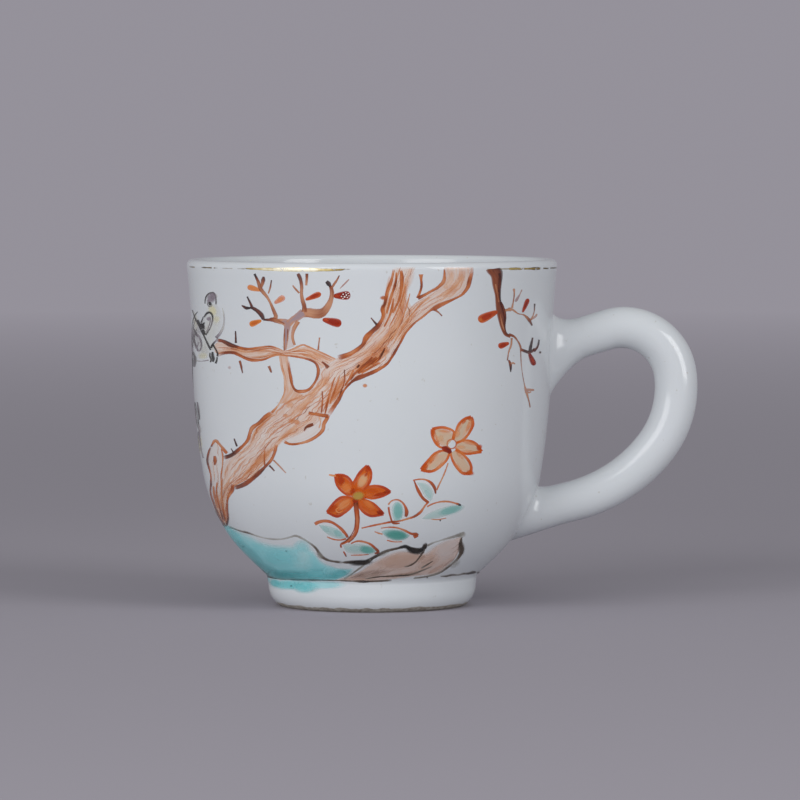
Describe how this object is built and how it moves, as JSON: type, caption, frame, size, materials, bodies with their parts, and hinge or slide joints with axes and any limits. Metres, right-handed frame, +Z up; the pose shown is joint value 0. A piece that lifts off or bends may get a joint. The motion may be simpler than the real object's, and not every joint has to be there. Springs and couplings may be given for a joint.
{
  "type": "handled cup",
  "caption": "Small porcelain cup with a flared lip, turned foot ring, loop handle and painted enamel decoration.",
  "frame": {"origin": "centre of the flat ring under the foot, in the plane that the cup rests on", "axes": "+Z up the cup's axis, +X towards the handle, -Y the painted side that the picture shows"},
  "size_m": [0.0914, 0.0662, 0.062],
  "materials": {
    "porcelain": "bluish white clear glaze, glossy",
    "gilding": "worn fired gilding",
    "tan_enamel": "thin iron red wash",
    "brown_enamel": "brown brush strokes",
    "red_enamel": "iron red enamel",
    "orange_enamel": "orange red enamel",
    "green_enamel": "clear turquoise green enamel",
    "turquoise_enamel": "pooled turquoise enamel",
    "pink_enamel": "dull pink wash",
    "black_enamel": "black brush line",
    "grey_enamel": "pale grey enamel"
  },
  "bodies": {
    "root": {"bowl": "porcelain", "handle": "porcelain", "upper_slip_joint": "porcelain", "lower_slip_joint": "porcelain", "rim_gilding": "gilding", "tree_enamel": "tan_enamel", "twig_enamel": "brown_enamel", "bud_enamel": "red_enamel", "blossom_enamel": "orange_enamel", "leaf_enamel": "green_enamel", "stem_enamel": "brown_enamel", "green_rock_enamel": "turquoise_enamel", "pink_rock_enamel": "pink_enamel", "ridge_enamel": "black_enamel", "bird_enamel": "grey_enamel"}
  },
  "joints": []
}
